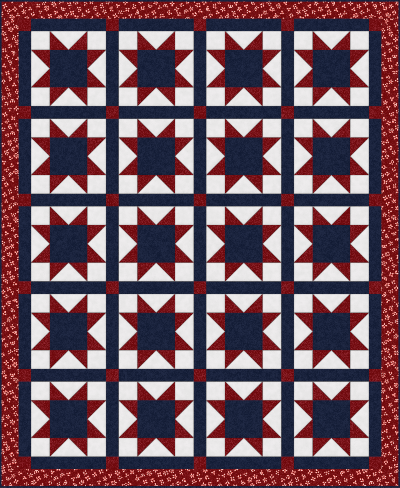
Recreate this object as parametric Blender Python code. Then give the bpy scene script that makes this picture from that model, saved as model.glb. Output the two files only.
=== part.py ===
"""Star quilt blanket lying flat: quilted patchwork centre, four printed border strips and a
mitred binding. Metres, +Z up, the width along X, the length along Y, the underside at Z = 0.
"""

import math

import bmesh
import bpy
from mathutils import Matrix, Vector

# The patchwork, as it is cut and pieced
INCH = 0.0254
BLOCK = 12 * INCH
UNIT = BLOCK / 4
SASH = 2 * INCH
BLOCKS_ACROSS = 4
BLOCKS_DOWN = 5
BORDER = 3 * INCH
BINDING = 0.25 * INCH

# Heights above the floor: at a seam, and where the binding squeezes the edge
SEAM_HEIGHT = 0.0024
EDGE_HEIGHT = 0.0032
EDGE_UNDERSIDE = 0.0009

# How far the wadding's steep rise goes in from a seam, and its gentle rise beyond that
STEEP_RUN = 0.006
GENTLE_RUN = 0.012

# The binding: cloth folded round the quilt's raw edge
BINDING_CLOTH = 0.0006
BINDING_HEIGHT = 0.0042
BINDING_SEWN_HEIGHT = 0.0041
FOLD_DEPTH = 0.0019
FOLD_STEPS = 8
RAW_EDGE_INSET = 0.0012

# Clear space between neighbouring pieces, and the distance that counts as the same place
GAP = 0.0003
TOLERANCE = 1e-6

# Worked out from the sizes above
PITCH = BLOCK + SASH
CENTRE_X = (BLOCKS_ACROSS * PITCH + SASH) / 2
CENTRE_Y = (BLOCKS_DOWN * PITCH + SASH) / 2
HALF_X = CENTRE_X + BORDER
HALF_Y = CENTRE_Y + BORDER
HELD_WIDTH = BINDING + GAP

# Each cloth: its colour in linear red, green and blue, and its roughness
CLOTHS = {
    "navy_cotton": ((0.0104, 0.0168, 0.0467), 0.85),
    "red_cotton": ((0.188, 0.006, 0.009), 0.85),
    "white_cotton": ((0.82, 0.805, 0.81), 0.85),
    "border_print": ((0.26, 0.022, 0.023), 0.85),
    "binding_cotton": ((0.0104, 0.0168, 0.0467), 0.85),
}
CENTRE_CLOTHS = ["navy_cotton", "red_cotton", "white_cotton"]

# Each kind of patch: its cloth, its height after the steep rise, and its full height
PATCHES = {
    "centre_square": ("navy_cotton", 0.0052, 0.0065),
    "star_point": ("red_cotton", 0.0044, 0.0054),
    "side_triangle": ("white_cotton", 0.0045, 0.0057),
    "corner_square": ("white_cotton", 0.0045, 0.0057),
    "sashing": ("navy_cotton", 0.0043, 0.0050),
    "cornerstone": ("red_cotton", 0.0041, 0.0047),
    "border": ("border_print", 0.0046, 0.0055),
}
LONG_PATCHES = ("sashing", "border")

# Each side of the quilt: its direction from the middle, and whether it runs along the length
SIDES = {
    "left": (-1, True),
    "right": (1, True),
    "bottom": (-1, False),
    "top": (1, False),
}


def clear_scene():
    """Removes the objects that a new file starts with."""
    for thing in list(bpy.data.objects):
        bpy.data.objects.remove(thing, do_unlink=True)


def make_cloth(name):
    """A plain cotton material in the cloth's own colour."""
    colour, roughness = CLOTHS[name]
    material = bpy.data.materials.new(name)
    material.use_nodes = True
    shader = material.node_tree.nodes["Principled BSDF"]
    shader.inputs["Base Color"].default_value = (*colour, 1.0)
    shader.inputs["Roughness"].default_value = roughness
    shader.inputs["Metallic"].default_value = 0.0
    material.diffuse_color = (*colour, 1.0)
    return material


def add_object(bm, name, materials, collection):
    """Turns a closed mesh into a named object with its cloths, its faces turned outwards."""
    bmesh.ops.recalc_face_normals(bm, faces=bm.faces[:])
    if bm.calc_volume(signed=True) < 0:
        bmesh.ops.reverse_faces(bm, faces=bm.faces[:])
    mesh = bpy.data.meshes.new(name)
    bm.to_mesh(mesh)
    bm.free()
    for material in materials:
        mesh.materials.append(material)
    thing = bpy.data.objects.new(name, mesh)
    collection.objects.link(thing)
    return thing


def flat_rectangle(middle, width, length):
    """One flat face at seam height, given its middle, its width and its length."""
    bm = bmesh.new()
    place = Matrix.Translation((*middle, SEAM_HEIGHT))
    size = Matrix.Diagonal((width, length, 1, 1))
    bmesh.ops.create_grid(bm, x_segments=1, y_segments=1, size=0.5, matrix=place @ size)
    return bm


def cut(bm, faces, point, direction):
    """Cuts the given faces along an upright plane through a point, square to a direction."""
    parts = set(faces)
    for face in faces:
        parts.update(face.edges)
        parts.update(face.verts)
    bmesh.ops.bisect_plane(
        bm,
        geom=list(parts),
        dist=TOLERANCE,
        plane_co=(*point, 0),
        plane_no=(*direction, 0),
    )


def faces_within(bm, middle, half_width, half_length):
    """The faces whose own middles lie in a rectangle about the given middle."""
    found = []
    for face in bm.faces:
        offset = face.calc_center_median().xy - middle
        if abs(offset.x) < half_width and abs(offset.y) < half_length:
            found.append(face)
    return found


def cut_sashing(bm):
    """Cuts the whole centre along both sides of each sash."""
    for number in range(BLOCKS_ACROSS):
        for side in (SASH, PITCH):
            cut(bm, bm.faces[:], (number * PITCH + side - CENTRE_X, 0), (1, 0))
    for number in range(BLOCKS_DOWN):
        for side in (SASH, PITCH):
            cut(bm, bm.faces[:], (0, number * PITCH + side - CENTRE_Y), (0, 1))


def block_middles():
    """The middle of each block."""
    first = SASH + BLOCK / 2
    return [
        Vector((column * PITCH + first - CENTRE_X, row * PITCH + first - CENTRE_Y))
        for column in range(BLOCKS_ACROSS)
        for row in range(BLOCKS_DOWN)
    ]


def cut_star(bm, middle):
    """Cuts one block into nine fields, and each of its side fields into three triangles."""
    for direction in (Vector((1, 0)), Vector((0, 1))):
        for offset in (-UNIT, UNIT):
            block = faces_within(bm, middle, BLOCK / 2, BLOCK / 2)
            cut(bm, block, middle + offset * direction, direction)
    for outward in (Vector((1, 0)), Vector((0, 1)), Vector((-1, 0)), Vector((0, -1))):
        along = Vector((-outward.y, outward.x))
        tip = middle + UNIT * outward
        half_width = UNIT * (abs(outward.x) / 2 + abs(along.x))
        half_length = UNIT * (abs(outward.y) / 2 + abs(along.y))
        for slope in (outward + along, outward - along):
            field = faces_within(bm, tip + outward * UNIT / 2, half_width, half_length)
            cut(bm, field, tip, slope)


def patch_kind(face):
    """Tells which patch a face is, from where it lies in its block or its sashing."""
    middle = face.calc_center_median()
    in_block_x = (middle.x + CENTRE_X) % PITCH - SASH
    in_block_y = (middle.y + CENTRE_Y) % PITCH - SASH
    if in_block_x < 0 and in_block_y < 0:
        return "cornerstone"
    if in_block_x < 0 or in_block_y < 0:
        return "sashing"
    near, far = sorted((abs(in_block_x - BLOCK / 2), abs(in_block_y - BLOCK / 2)))
    if far < UNIT:
        return "centre_square"
    if near > UNIT:
        return "corner_square"
    return "side_triangle" if near < UNIT / 4 else "star_point"


def fill_patch(bm, face, kind):
    """Fills out one patch: a steep rise from its seams, then a gentle one to full height."""
    _, steep_top, full = PATCHES[kind]
    bmesh.ops.inset_individual(
        bm, faces=[face], thickness=STEEP_RUN, depth=steep_top - SEAM_HEIGHT
    )
    if kind in LONG_PATCHES:
        bmesh.ops.inset_individual(
            bm, faces=[face], thickness=GENTLE_RUN, depth=full - steep_top
        )
    else:
        bmesh.ops.poke(bm, faces=[face], offset=full - steep_top)


def only_verts(parts):
    """The points among the parts that an operation made."""
    return [part for part in parts if isinstance(part, bmesh.types.BMVert)]


def close_downwards(bm):
    """Closes an open sheet with upright sides down to the floor and one flat underside."""
    rim = [edge for edge in bm.edges if edge.is_boundary]
    sides = bmesh.ops.extrude_edge_only(bm, edges=rim)["geom"]
    for vert in only_verts(sides):
        vert.co.z = 0
    lower_rim = [edge for edge in bm.edges if edge.is_boundary]
    for face in bmesh.ops.contextual_create(bm, geom=lower_rim)["faces"]:
        face.material_index = CENTRE_CLOTHS.index("navy_cotton")


def make_centre(cloths, collection):
    """The pieced and quilted centre: blocks, sashing and cornerstones as one padded sheet."""
    bm = flat_rectangle((0, 0), 2 * CENTRE_X - GAP, 2 * CENTRE_Y - GAP)
    cut_sashing(bm)
    for middle in block_middles():
        cut_star(bm, middle)
    for face in bm.faces[:]:
        kind = patch_kind(face)
        face.material_index = CENTRE_CLOTHS.index(PATCHES[kind][0])
        fill_patch(bm, face, kind)
    close_downwards(bm)
    add_object(bm, "quilt_centre", [cloths[name] for name in CENTRE_CLOTHS], collection)


def is_held(point, level):
    """Whether a point of a border lies inside the binding."""
    reach = [HALF_X - abs(point.x)]
    if level:
        reach.append(HALF_Y - abs(point.y))
    return min(reach) < HELD_WIDTH + TOLERANCE


def close_strip(bm, level):
    """Gives a border an underside that lies on the floor and lifts where it is held."""
    lower = bmesh.ops.extrude_face_region(bm, geom=bm.faces[:], use_keep_orig=True)["geom"]
    for vert in only_verts(lower):
        vert.co.z = EDGE_UNDERSIDE if is_held(vert.co, level) else 0


def make_border(name, direction, along_length, cloths, collection):
    """One border strip. The long pair ends at the other pair, which runs the full width."""
    level = not along_length
    inner = (CENTRE_Y if level else CENTRE_X) + GAP / 2
    outer = (HALF_Y if level else HALF_X) - RAW_EDGE_INSET
    middle = direction * (inner + outer) / 2
    if level:
        bm = flat_rectangle((0, middle), 2 * (HALF_X - RAW_EDGE_INSET), outer - inner)
        cut(bm, bm.faces[:], (0, direction * (HALF_Y - HELD_WIDTH)), (0, 1))
        for end in (-1, 1):
            cut(bm, bm.faces[:], (end * (HALF_X - HELD_WIDTH), 0), (1, 0))
    else:
        bm = flat_rectangle((middle, 0), outer - inner, 2 * CENTRE_Y - GAP)
        cut(bm, bm.faces[:], (direction * (HALF_X - HELD_WIDTH), 0), (1, 0))
    widest = max(bm.faces, key=lambda face: face.calc_area())
    fill_patch(bm, widest, "border")
    for vert in bm.verts:
        if is_held(vert.co, level):
            vert.co.z = EDGE_HEIGHT
    close_strip(bm, level)
    add_object(bm, name, [cloths["border_print"]], collection)


def fold_arc(height, depth, floor):
    """Points round the outside of a fold, from its lower leg up to its upper one.

    height is how far apart the legs are, depth how far the fold bulges, floor the lower leg.
    """
    points = []
    for step in range(FOLD_STEPS + 1):
        angle = math.pi * (step / FOLD_STEPS - 0.5)
        distance = FOLD_DEPTH - depth * math.cos(angle)
        points.append((distance, floor + height / 2 * (1 + math.sin(angle))))
    return points


def binding_outline():
    """The binding's section, as distances in from the quilt's edge and heights."""
    outside = fold_arc(BINDING_HEIGHT, FOLD_DEPTH, 0)
    inside = fold_arc(
        BINDING_HEIGHT - 2 * BINDING_CLOTH, FOLD_DEPTH - BINDING_CLOTH, BINDING_CLOTH
    )
    upper_leg = [(BINDING, BINDING_SEWN_HEIGHT), (BINDING, BINDING_SEWN_HEIGHT - BINDING_CLOTH)]
    lower_leg = [(BINDING, BINDING_CLOTH), (BINDING, 0)]
    return outside + upper_leg + inside[::-1] + lower_leg


def drawn_out(outline, half_length, collection):
    """A bar with the given outline in X and Y, drawn out both ways along Z."""
    curve = bpy.data.curves.new("outline", "CURVE")
    curve.dimensions = "2D"
    curve.fill_mode = "BOTH"
    curve.extrude = half_length
    spline = curve.splines.new("POLY")
    spline.points.add(len(outline) - 1)
    for point, place in zip(spline.points, outline):
        point.co = (*place, 0, 1)
    spline.use_cyclic_u = True
    drawn = bpy.data.objects.new("outline", curve)
    collection.objects.link(drawn)
    bpy.context.view_layer.update()
    evaluated = drawn.evaluated_get(bpy.context.evaluated_depsgraph_get())
    mesh = bpy.data.meshes.new_from_object(evaluated)
    bpy.data.objects.remove(drawn, do_unlink=True)
    bm = bmesh.new()
    bm.from_mesh(mesh)
    bpy.data.meshes.remove(mesh)
    bmesh.ops.remove_doubles(bm, verts=bm.verts[:], dist=TOLERANCE)
    return bm


def make_binding(name, direction, along_length, cloths, collection):
    """One binding strip: the section drawn out along its side, both ends mitred."""
    half_length = HALF_Y if along_length else HALF_X
    edge = HALF_X if along_length else HALF_Y
    mitre_clearance = GAP / math.sqrt(2)
    bm = drawn_out(binding_outline(), half_length, collection)
    for vert in bm.verts:
        distance, height, end = vert.co
        along = math.copysign(half_length - distance - mitre_clearance, end)
        across = direction * (edge - distance)
        vert.co = (across, along, height) if along_length else (along, across, height)
    add_object(bm, name, [cloths["binding_cotton"]], collection)


def main():
    """Makes the cloths, the centre, and a border and a binding strip for each side."""
    clear_scene()
    collection = bpy.data.collections.new("star_quilt_blanket")
    bpy.context.scene.collection.children.link(collection)
    cloths = {name: make_cloth(name) for name in CLOTHS}
    make_centre(cloths, collection)
    for side, (direction, along_length) in SIDES.items():
        make_border("border_" + side, direction, along_length, cloths, collection)
        make_binding("binding_" + side, direction, along_length, cloths, collection)


main()
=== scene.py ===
"""Star quilt blanket, laid flat: its pieced cloths, printed borders, folded binding and light.

Metres, +Z up, the width along X, the length along Y, the underside at Z = 0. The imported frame
gives the outer sizes, and the patchwork grid is worked out from them.
"""

import logging
import math
from collections.abc import Iterable, Sequence
from dataclasses import dataclass, field, replace
from enum import Enum, IntEnum

import bpy
import numpy as np
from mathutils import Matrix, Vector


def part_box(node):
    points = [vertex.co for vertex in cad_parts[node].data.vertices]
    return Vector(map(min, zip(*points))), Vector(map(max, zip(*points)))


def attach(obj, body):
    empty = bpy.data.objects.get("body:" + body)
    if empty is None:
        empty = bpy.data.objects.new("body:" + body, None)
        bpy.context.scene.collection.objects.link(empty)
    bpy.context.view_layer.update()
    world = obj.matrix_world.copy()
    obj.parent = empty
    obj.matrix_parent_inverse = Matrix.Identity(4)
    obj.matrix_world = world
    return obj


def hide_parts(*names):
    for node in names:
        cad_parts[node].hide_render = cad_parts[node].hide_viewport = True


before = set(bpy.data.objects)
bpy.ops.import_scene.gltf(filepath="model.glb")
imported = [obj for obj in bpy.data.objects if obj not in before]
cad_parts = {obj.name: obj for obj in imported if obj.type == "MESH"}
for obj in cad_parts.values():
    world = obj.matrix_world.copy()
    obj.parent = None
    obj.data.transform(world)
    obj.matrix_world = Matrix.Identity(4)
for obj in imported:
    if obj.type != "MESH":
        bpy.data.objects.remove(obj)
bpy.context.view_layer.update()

LOG = logging.getLogger("star_quilt")

Array = np.ndarray
Cell = tuple[int, int]
Pair = tuple[float, float]
Colour = tuple[float, float, float]

# The body that every piece lies on
BODY = "root"

# The layout: blocks, and grid cells to a unit, which is a quarter of a block
BLOCKS_ACROSS = 4
BLOCKS_DOWN = 5
UNITS_PER_BLOCK = 4
CELLS_PER_UNIT = 24
INCH = 0.0254

# Side of the square table of random heights behind each kind of unevenness
NOISE_TABLE = 64

# A patch is sewn to nodes that stand for the whole pieced centre
CENTRE_NODE = "quilt_centre"

# The name of a piece's own map
BAKE_MAP = "OFBake"

# The name under which a mesh keeps where its points lay on the uncut cloth, and that cloth's reach
CLOTH_MAP = "on_cloth"
BOLT_REACH = 2.0

# The name under which a mesh keeps how far its points lie from the nearest seam
SEAM_MAP = "from_seam"

# Whole numbers that seed a random draw may not be below nothing, so grid numbers get this added
SEED_BASE = 10000

# How far outside a line a grid point still counts as on it, in cells
ON_LINE = 0.01

# Points round the foot of a stitch, with its top after them
STITCH_FOOT = 4

# Cloudy noise: its middle, and the span that it mostly keeps within
NOISE_MIDDLE = 0.5
NOISE_SPAN = (0.3, 0.7)

# Further out of a dab than any ink goes
OUT_OF_REACH = 9.0

# How far behind a motif's cut counts as twice as far out as the edge of a dab
CUT_RUN = 0.002

# The usual curve from a tone as the eye sees it to the light itself, straight near black
FULL_TONE = 255
STRAIGHT_TO = 0.04045
STRAIGHT_SLOPE = 12.92
CURVE_OFFSET = 0.055
CURVE_POWER = 2.4


def smooth_step(share: Array) -> Array:
    """Eases shares from 0 to 1 so that they start and end level."""
    return share * share * (3 - 2 * share)


def keep_cloth_places(mesh: bpy.types.Mesh, places: Array) -> None:
    """Keeps where a mesh's points lay on the uncut cloth, which the materials go by."""
    layer = mesh.attributes.new(CLOTH_MAP, "FLOAT_VECTOR", "POINT")
    layer.data.foreach_set("vector", np.asarray(places, dtype=float).ravel())


def dye(red: int, green: int, blue: int) -> Colour:
    """Turns a colour as the eye sees it into the light that a shader takes.

    Args:
        red: its red, up to FULL_TONE.
        green: its green.
        blue: its blue.

    Returns:
        The linear colour, each part up to 1.
    """
    parts = []
    for part in (red, green, blue):
        seen = part / FULL_TONE
        straight = seen / STRAIGHT_SLOPE
        curved = ((seen + CURVE_OFFSET) / (1 + CURVE_OFFSET)) ** CURVE_POWER
        parts.append(straight if seen <= STRAIGHT_TO else curved)
    return tuple(parts)


class Cloth(Enum):
    """The cloths and the thread, by the record's material slots."""

    NAVY = "navy_cotton"
    RED = "red_cotton"
    WHITE = "white_cotton"
    PRINT = "border_print"
    BINDING = "binding_cotton"
    BACKING = "backing_cotton"
    THREAD = "quilting_thread"


class NoiseLayer(IntEnum):
    """What a material's noise is for, which sets it apart from the material's other noise."""

    SPECKS = 0
    CLOUDS = 1
    SLUBS = 2
    WEAR = 3
    PUCKERS = 4
    STRAY_X = 6
    STRAY_Y = 7
    INK = 8


class PatchKind(Enum):
    """Each kind of patch: its cloth, its height at the shoulder and its height at the crown."""

    CENTRE_SQUARE = (Cloth.NAVY, 0.0052, 0.0065)
    STAR_POINT = (Cloth.RED, 0.0044, 0.0054)
    BACKGROUND = (Cloth.WHITE, 0.0045, 0.0057)
    SASH = (Cloth.NAVY, 0.0043, 0.0050)
    CORNERSTONE = (Cloth.RED, 0.0041, 0.0047)
    BORDER = (Cloth.PRINT, 0.0046, 0.0055)

    @property
    def cloth(self) -> Cloth:
        """The cloth that the patch is cut from."""
        return self.value[0]

    @property
    def shoulder(self) -> float:
        """Height once the wadding has risen from the seam."""
        return self.value[1]

    @property
    def crown(self) -> float:
        """Height in the middle of the patch."""
        return self.value[2]


class Side(Enum):
    """A side of the quilt: which way it lies from the middle, and whether it runs lengthwise."""

    LEFT = (-1, True)
    RIGHT = (1, True)
    BOTTOM = (-1, False)
    TOP = (1, False)

    @property
    def direction(self) -> int:
        """Minus one or plus one, along X or Y."""
        return self.value[0]

    @property
    def lengthwise(self) -> bool:
        """Whether the side runs along the quilt's length."""
        return self.value[1]

    @property
    def word(self) -> str:
        """The side's name as nodes and pieces carry it."""
        return self.name.lower()


@dataclass(frozen=True)
class QuiltPlan:
    """The quilt's layout on a square grid, with its sizes worked out from the frame.

    Attributes:
        centre_x: half the width of the pieced centre.
        centre_y: half its length.
        half_x: half the quilt's width, over the binding.
        half_y: half its length.
        binding: width of the binding that shows.
    """

    centre_x: float
    centre_y: float
    half_x: float
    half_y: float
    binding: float

    @classmethod
    def from_frame(cls) -> "QuiltPlan":
        """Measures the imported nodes. The border seams lie midway between two nodes.

        Returns:
            The layout that fits them.
        """
        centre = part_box(CENTRE_NODE)[1]
        inner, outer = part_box("binding_right")
        return cls(
            centre_x=(centre.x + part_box("border_right")[0].x) / 2,
            centre_y=(centre.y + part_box("border_top")[0].y) / 2,
            half_x=outer.x,
            half_y=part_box("binding_top")[1].y,
            binding=outer.x - inner.x,
        )

    @property
    def pitch(self) -> float:
        """From one block to the next: the centre is one block longer than it is wide."""
        return 2 * (self.centre_y - self.centre_x) / (BLOCKS_DOWN - BLOCKS_ACROSS)

    @property
    def sash(self) -> float:
        """Width of the sashing."""
        return 2 * self.centre_x - BLOCKS_ACROSS * self.pitch

    @property
    def unit(self) -> float:
        """A quarter of a block."""
        return (self.pitch - self.sash) / UNITS_PER_BLOCK

    @property
    def cell(self) -> float:
        """Side of a grid cell."""
        return self.unit / CELLS_PER_UNIT

    def cells(self, length: float) -> int:
        """A length as a whole number of grid cells."""
        return round(length / self.cell)


@dataclass(frozen=True)
class SoftNoise:
    """Smooth unevenness over the plan, the same in every run.

    Attributes:
        spacing: distance between neighbouring random heights.
        height: largest height either way.
        seed: number that fixes the random heights.
    """

    spacing: float
    height: float
    seed: int

    def at(self, x: Array, y: Array) -> Array:
        """Unevenness at the given places.

        Args:
            x: places across the quilt.
            y: places along it.

        Returns:
            A height for each place.
        """
        table = np.random.default_rng(self.seed).uniform(-1, 1, (NOISE_TABLE, NOISE_TABLE))
        across, along = x / self.spacing, y / self.spacing
        column, row = np.floor(across).astype(int), np.floor(along).astype(int)
        right, up = smooth_step(across - column), smooth_step(along - row)

        def corner(step_right: int, step_up: int) -> Array:
            """The random heights at one corner of each place's square."""
            return table[(row + step_up) % NOISE_TABLE, (column + step_right) % NOISE_TABLE]

        lower = corner(0, 0) * (1 - right) + corner(1, 0) * right
        upper = corner(0, 1) * (1 - right) + corner(1, 1) * right
        return self.height * (lower * (1 - up) + upper * up)


@dataclass(frozen=True)
class SeamLine:
    """The straight line that one side of a patch lies on.

    Attributes:
        start: a grid point on the line.
        end: the next corner of the patch, anticlockwise.
    """

    start: Cell
    end: Cell

    @property
    def direction(self) -> Cell:
        """The smallest whole step along the line, rightwards or upwards.

        Returns:
            Cells across and cells up.
        """
        step_x, step_y = self.end[0] - self.start[0], self.end[1] - self.start[1]
        shared = math.gcd(abs(step_x), abs(step_y))
        step_x, step_y = step_x // shared, step_y // shared
        return (step_x, step_y) if (step_x, step_y) > (0, 0) else (-step_x, -step_y)

    def inwards(self, columns: Array, rows: Array) -> Array:
        """Measures grid points from the line, square to it.

        Args:
            columns: their columns.
            rows: their rows.

        Returns:
            How many cells inside the line each of them lies.
        """
        step_x, step_y = self.end[0] - self.start[0], self.end[1] - self.start[1]
        cross = step_x * (rows - self.start[1]) - step_y * (columns - self.start[0])
        return cross / math.hypot(step_x, step_y)

    def along(self, columns: Array, rows: Array) -> Array:
        """How many cells along the line each grid point lies."""
        step_x, step_y = self.direction
        return (step_x * columns + step_y * rows) / math.hypot(step_x, step_y)

    @property
    def key(self) -> tuple[int, int, int]:
        """Numbers that both patches on this line work out alike.

        Returns:
            Its direction and its offset, made fit to seed a random draw.
        """
        step_x, step_y = self.direction
        offset = step_x * self.start[1] - step_y * self.start[0]
        return (step_x + SEED_BASE, step_y + SEED_BASE, offset + SEED_BASE)


@dataclass(frozen=True)
class Patch:
    """One cut of cloth.

    Attributes:
        kind: what the patch is for.
        corners: its corners in grid cells from the quilt's middle, anticlockwise.
        sewn: the same for the outline that the stitching follows, if it differs.
    """

    kind: PatchKind
    corners: tuple[Cell, ...]
    sewn: tuple[Cell, ...] = ()

    @property
    def seams(self) -> list[SeamLine]:
        """The lines that the stitching follows."""
        around = self.sewn or self.corners
        return [SeamLine(start, end) for start, end in zip(around, around[1:] + around[:1])]

    def grid(self) -> tuple[Array, Array, Array]:
        """Grid points of the patch's box.

        Returns:
            Their columns, their rows, and whether each lies on the patch.
        """
        lowest, highest = np.min(self.corners, axis=0), np.max(self.corners, axis=0)
        columns, rows = np.meshgrid(
            np.arange(lowest[0], highest[0] + 1), np.arange(lowest[1], highest[1] + 1)
        )
        on_patch = np.full(columns.shape, True)
        for start, end in zip(self.corners, self.corners[1:] + self.corners[:1]):
            on_patch &= SeamLine(start, end).inwards(columns, rows) > -ON_LINE
        return columns, rows, on_patch

    def on_cloth(self, points: Array) -> Array:
        """Where the patch lay on its cloth before it was cut, along the grain or across it.

        Args:
            points: places on the patch.

        Returns:
            The same places on the uncut cloth.
        """
        seed = [number + SEED_BASE for corner in self.corners for number in corner]
        chance = np.random.default_rng(seed)
        quarter_turn = ((0, 1, 0), (-1, 0, 0), (0, 0, 1))
        turned = points @ np.linalg.matrix_power(quarter_turn, chance.integers(4))
        return turned + (*chance.uniform(-BOLT_REACH, BOLT_REACH, 2), 0)


def rectangle(left: int, bottom: int, right: int, top: int) -> tuple[Cell, ...]:
    """Corners of a rectangle, anticlockwise."""
    return ((left, bottom), (right, bottom), (right, top), (left, top))


@dataclass(frozen=True)
class QuiltedRelief:
    """Height of the quilted top: sunk at the seams, full between them, a little uneven.

    Attributes:
        plan: the quilt's layout.
        seam_height: height of a seam above the surface that the quilt lies on.
        held_height: height of the border where the binding squeezes it.
        held_reach: how far in from the binding that squeeze is felt.
        raw_edge: how far the cloth's cut edge lies inside the fold of the binding.
        shoulder_run: how far in from a seam the wadding has its steep rise.
        ripple_height: height of the small puckers that a seam draws up.
        ripple_reach: how far in from a seam they fade.
        ripple_lengths: distances between puckers along a seam.
        slack: unevenness of the whole quilt, broad and fine.
        sharpness: how sharply the valleys of two seams meet at a corner.
        nearest: least distance from a seam that is told apart from none.
    """

    plan: QuiltPlan
    seam_height: float = 0.0024
    held_height: float = 0.0032
    held_reach: float = 0.008
    raw_edge: float = 0.0012
    shoulder_run: float = 0.012
    ripple_height: float = 0.00028
    ripple_reach: float = 0.016
    ripple_lengths: tuple[float, ...] = (0.0127, 0.0181, 0.0267, 0.0433)
    slack: tuple[SoftNoise, ...] = (SoftNoise(0.09, 0.00025, 11), SoftNoise(0.027, 0.00012, 12))
    sharpness: float = 3.0
    nearest: float = 0.000001

    def places(self, columns: Array, rows: Array) -> tuple[Array, Array]:
        """Turns grid points into places, none of them past the cloth's cut edge.

        Args:
            columns: their columns.
            rows: their rows.

        Returns:
            Their places across the quilt, and along it.
        """
        cell, plan = self.plan.cell, self.plan
        limit_x, limit_y = plan.half_x - self.raw_edge, plan.half_y - self.raw_edge
        return np.clip(columns * cell, -limit_x, limit_x), np.clip(rows * cell, -limit_y, limit_y)

    def seam_level(self, x: Array, y: Array) -> Array:
        """Works out how high a seam lies at the given places.

        Args:
            x: places across the quilt.
            y: places along it.

        Returns:
            A height for each place.
        """
        plan = self.plan
        inside = np.minimum(plan.half_x - np.abs(x), plan.half_y - np.abs(y)) - plan.binding
        held = np.exp(-np.maximum(inside, 0) / self.held_reach)
        unevenness = sum(noise.at(x, y) for noise in self.slack)
        return self.seam_height + (self.held_height - self.seam_height) * held + unevenness * (1 - held)

    def ripple(self, seam: SeamLine, columns: Array, rows: Array) -> Array:
        """Draws the puckers of one seam.

        Args:
            seam: the seam.
            columns: grid columns of the points near it.
            rows: grid rows of those points.

        Returns:
            For each point, a share from minus one to one.
        """
        phases = np.random.default_rng(seam.key).uniform(0, 2 * math.pi, len(self.ripple_lengths))
        along = seam.along(columns, rows) * self.plan.cell
        waves = [
            np.sin(2 * math.pi * along / length + phase)
            for length, phase in zip(self.ripple_lengths, phases)
        ]
        return sum(waves) / len(waves)

    def lift(self, patch: Patch, columns: Array, rows: Array) -> tuple[Array, Array]:
        """Works out one patch's relief.

        Args:
            patch: the patch.
            columns: grid columns of its points.
            rows: grid rows of its points.

        Returns:
            Each point's height, and its distance from the stitching around the patch.
        """
        x, y = self.places(columns, rows)
        distances = []
        ripples = 0.0
        for seam in patch.seams:
            distance = np.maximum(seam.inwards(columns, rows), 0) * self.plan.cell
            distances.append(distance)
            ripples = ripples + self.ripple(seam, columns, rows) * np.exp(
                -distance / self.ripple_reach
            )
        near = np.maximum(distances, self.nearest)
        inside = np.sum(near**-self.sharpness, axis=0) ** (-1 / self.sharpness)
        steep = 1 - (1 - np.minimum(inside / self.shoulder_run, 1)) ** 2
        gentle = 1 - (1 - inside / inside.max()) ** 2
        height = self.seam_level(x, y)
        height = height + (patch.kind.shoulder - self.seam_height) * steep
        height = height + (patch.kind.crown - patch.kind.shoulder) * gentle
        return height + self.ripple_height * ripples * steep, inside


@dataclass(frozen=True)
class Surface:
    """An open sheet of points and faces.

    Attributes:
        cells: each point's grid column and row.
        points: each point's place.
        on_cloth: where each point lay on the uncut cloth.
        inside: each point's distance from the stitching.
        faces: corner numbers of each face.
    """

    cells: Array
    points: Array
    on_cloth: Array
    inside: Array
    faces: list[list[int]]

    @classmethod
    def of_patch(cls, patch: Patch, relief: QuiltedRelief) -> "Surface":
        """Lays a patch out on the grid and gives it its relief.

        Args:
            patch: the patch.
            relief: the quilted top's relief.

        Returns:
            The patch as a sheet of squares, with triangles along slanting seams.
        """
        columns, rows, on_patch = patch.grid()
        numbers = np.full(columns.shape, -1)
        numbers[on_patch] = np.arange(on_patch.sum())
        around = [numbers[:-1, :-1], numbers[:-1, 1:], numbers[1:, 1:], numbers[1:, :-1]]
        held = [corner >= 0 for corner in around]
        faces = np.stack(around, axis=-1)[np.all(held, axis=0)].tolist()
        for lost in range(len(around)):
            others = [corner for place, corner in enumerate(around) if place != lost]
            three = np.all([corner >= 0 for corner in others], axis=0) & ~held[lost]
            faces += np.stack(others, axis=-1)[three].tolist()
        columns, rows = columns[on_patch], rows[on_patch]
        heights, inside = relief.lift(patch, columns, rows)
        x, y = relief.places(columns, rows)
        cells, points = np.stack((columns, rows), axis=-1), np.stack((x, y, heights), axis=-1)
        return cls(cells, points, patch.on_cloth(points), inside, faces)

    @classmethod
    def joined(cls, surfaces: Sequence["Surface"]) -> "Surface":
        """Takes several sheets together, each still separate from the others.

        Args:
            surfaces: the sheets.

        Returns:
            One sheet that holds them all.
        """
        faces = []
        count = 0
        for surface in surfaces:
            faces += [[corner + count for corner in face] for face in surface.faces]
            count += len(surface.points)
        columns = (
            np.concatenate([getattr(surface, name) for surface in surfaces])
            for name in ("cells", "points", "on_cloth", "inside")
        )
        return cls(*columns, faces)


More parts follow.
